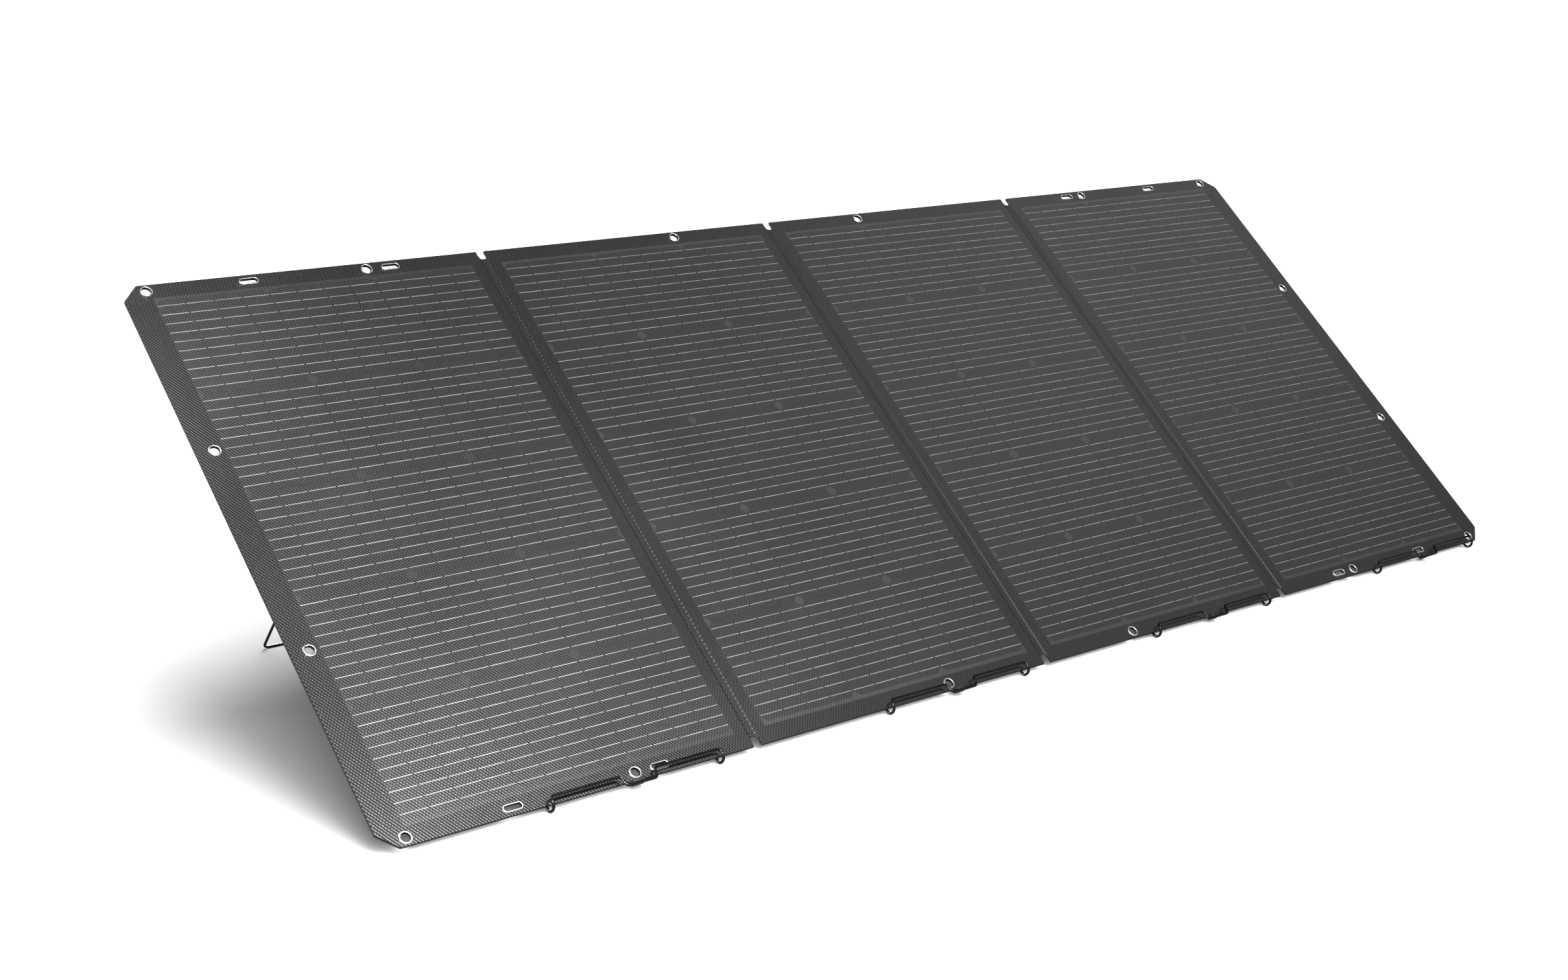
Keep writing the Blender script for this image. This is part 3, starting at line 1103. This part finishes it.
# piping round the crown, a sewn flange round the foot
loop = [(x, v) for x, v, n in rounded(px0, px1, pv0, pv1, 22.0, 0.0, 12.5, 8)]
dense = []
for a, b in zip(loop, loop[1:] + loop[:1]):
    count = max(1, int(math.dist(a, b) / 5.0))
    dense += [(a[0] + (b[0] - a[0]) * k / count, a[1] + (b[1] - a[1]) * k / count) for k in range(count)]
level = np.array([skin_n(x, v) for x, v in dense])
for _ in range(6):
    level = (np.roll(level, 1) + 2 * level + np.roll(level, -1)) / 4
pouch.tube([(x, v, n - 0.5) for (x, v), n in zip(dense, level)], 1.3, 10, closed=True, mat=1)
flange = [rounded(px0, px1, pv0, pv1, 24.0, n, inset, 8) for n, inset in ((pn1 + 0.0, -7.0), (pn1 - 0.5, -7.2), (pn1 - 0.9, -6.8), (pn1 - 1.0, -6.0), (pn1 - 1.05, 0.0), (pn1 - 1.0, 4.0), (pn1, 4.0))]
pouch.loft([list(r) for r in flange], 1, closed=True)
for inset in (-4.6, -1.6):
    loop = [(x, v) for x, v, n in rounded(px0, px1, pv0, pv1, 24.0, 0.0, inset, 4)]
    for a, b in zip(loop, loop[1:] + loop[:1]):
        pouch.stitches((*a, pn1 - 1.12), (*b, pn1 - 1.12), 0.34, 3.4, 1.2, 3)
piece("pouch", pouch, [M_POUCH, M_BINDING, M_ZIP, M_THREAD, M_SCREW], "panel_4", "cable_pouch", 60.0)

# ------------------------------------------------------------------ floor, light and camera
floor_mesh = bpy.data.meshes.new("floor")
floor_mesh.from_pydata([(-60, -60, 0), (60, -60, 0), (60, 60, 0), (-60, 60, 0)], [], [(0, 1, 2, 3)])
t = Nodes("pale_floor")
seen = t.new("ShaderNodeLightPath").outputs["Is Camera Ray"]
t.set(color=t.mix(seen, (0.28, 0.28, 0.28), (0.90, 0.90, 0.90)), rough=0.95, spec=0.0)
floor_mesh.materials.append(t.mat)
floor = link(bpy.data.objects.new("floor", floor_mesh))
floor.location.z = -0.0002

SKY_DIFFUSE, SKY_LOW, SKY_HIGH = 0.16, 0.22, 0.02
world = bpy.data.worlds.new("studio")
bpy.context.scene.world = world
world.use_nodes = True
wt = world.node_tree
for n in list(wt.nodes):
    wt.nodes.remove(n)


def background(strength):
    n = wt.nodes.new("ShaderNodeBackground")
    n.inputs["Color"].default_value = (1.0, 1.0, 1.0, 1.0)
    if isinstance(strength, float):
        n.inputs["Strength"].default_value = strength
    else:
        wt.links.new(strength, n.inputs["Strength"])
    return n.outputs[0]


def choose(factor, a, b):
    n = wt.nodes.new("ShaderNodeMixShader")
    wt.links.new(factor, n.inputs[0])
    wt.links.new(a, n.inputs[1])
    wt.links.new(b, n.inputs[2])
    return n.outputs[0]


# reflections see a bright band of wall round the room and a dark ceiling; the camera sees plain white
path = wt.nodes.new("ShaderNodeLightPath")
place = wt.nodes.new("ShaderNodeTexCoord")
split = wt.nodes.new("ShaderNodeSeparateXYZ")
wt.links.new(place.outputs["Generated"], split.inputs[0])
band = wt.nodes.new("ShaderNodeMapRange")
band.interpolation_type = "SMOOTHSTEP"
wt.links.new(split.outputs[2], band.inputs[0])
for k, value in enumerate((0.22, 0.50, SKY_LOW, SKY_HIGH)):
    band.inputs[1 + k].default_value = value
lit = choose(path.outputs["Is Glossy Ray"], background(SKY_DIFFUSE), background(band.outputs[0]))
out = wt.nodes.new("ShaderNodeOutputWorld")
wt.links.new(choose(path.outputs["Is Camera Ray"], lit, background(1.05)), out.inputs[0])


def shine(name, kind, strength, on_floor=False):
    """A lamp on the floor only or on all but the floor."""
    light = bpy.data.lights.new(name, kind)
    light.energy = strength
    ob = link(bpy.data.objects.new(name, light))
    group = bpy.data.collections.new("lit_by_" + name)
    group.objects.link(floor)
    group.collection_objects[0].light_linking.link_state = "INCLUDE" if on_floor else "EXCLUDE"
    ob.light_linking.receiver_collection = group
    return ob


def sun(name, direction, angle, strength, on_floor=False, world_frame=False):
    """A distant lamp that shines from a direction in the array frame."""
    ob = shine(name, "SUN", strength, on_floor)
    ob.data.angle = math.radians(angle)
    toward = Vector(direction) if world_frame else ARRAY.to_3x3() @ Vector(direction)
    ob.rotation_euler = toward.to_track_quat("Z", "Y").to_euler()
    return ob


def lamp(name, place, power, smooth, radius=30.0):
    """A small near lamp at a place in the array frame, in millimetres. Smooth, in square metres, keeps a board folded close to it from glaring."""
    ob = shine(name, "POINT", power)
    ob.data.shadow_soft_size = radius * MM
    ob.data.use_nodes = True
    tree = ob.data.node_tree
    fall = tree.nodes.new("ShaderNodeLightFalloff")
    fall.inputs["Strength"].default_value = 1.0
    fall.inputs["Smooth"].default_value = smooth
    glow = next(n for n in tree.nodes if n.type == "EMISSION")
    tree.links.new(fall.outputs["Quadratic"], glow.inputs["Strength"])
    ob.location = ARRAY @ (Vector(place) * MM)
    return ob


sun("key", (0.06, 0.0, 1.0), 1.5, 3.7)
sun("far_right", (3611.0, 1927.0, 2419.0), 24.0, 0.06)
sun("upper_right", (2961.0, 1977.0, 2419.0), 24.0, 0.12)
lamp("corner", (-1300.0, 0.0, 420.0), 44.0, 0.12)
lamp("left_edge", (-1450.0, 950.0, 300.0), 26.0, 0.06)
lamp("low_left", (-800.0, 0.0, 600.0), 24.0, 0.20)
sun("behind", (0.55, 0.9, 0.30), 16.0, 7.0, world_frame=True)
sun("behind_left", (-0.8, 0.7, 0.15), 16.0, 2.5, world_frame=True)
sun("floor_wash", (0.25, -0.25, 1.0), 50.0, 3.8, True, True)
sun("floor_front", (0.0, -1.0, 0.58), 70.0, 6.0, True, True)

cam_data = bpy.data.cameras.new("camera")
cam_data.lens = 49.83
cam_data.sensor_width = 36.0
cam_data.clip_start, cam_data.clip_end = 0.05, 200.0
cam = link(bpy.data.objects.new("camera", cam_data))
right, up, forward = (
    Vector(c)
    for c in ((0.77873121, -0.47277531, 0.41238478), (0.15373955, 0.78110539, 0.60517644), (0.60822846, 0.40786993, -0.68095541))
)
basis = ARRAY.to_3x3() @ Matrix((right, up, -forward)).transposed()
cam.matrix_world = Matrix.Translation(ARRAY @ (Vector((-2461.4, -1027.3, 2418.8)) * MM)) @ basis.to_4x4()
bpy.context.scene.camera = cam

view = bpy.context.scene.view_settings
view.view_transform = "Standard"
view.look = "None"
view.exposure = 0.0
view.gamma = 1.0

bpy.context.view_layer.update()
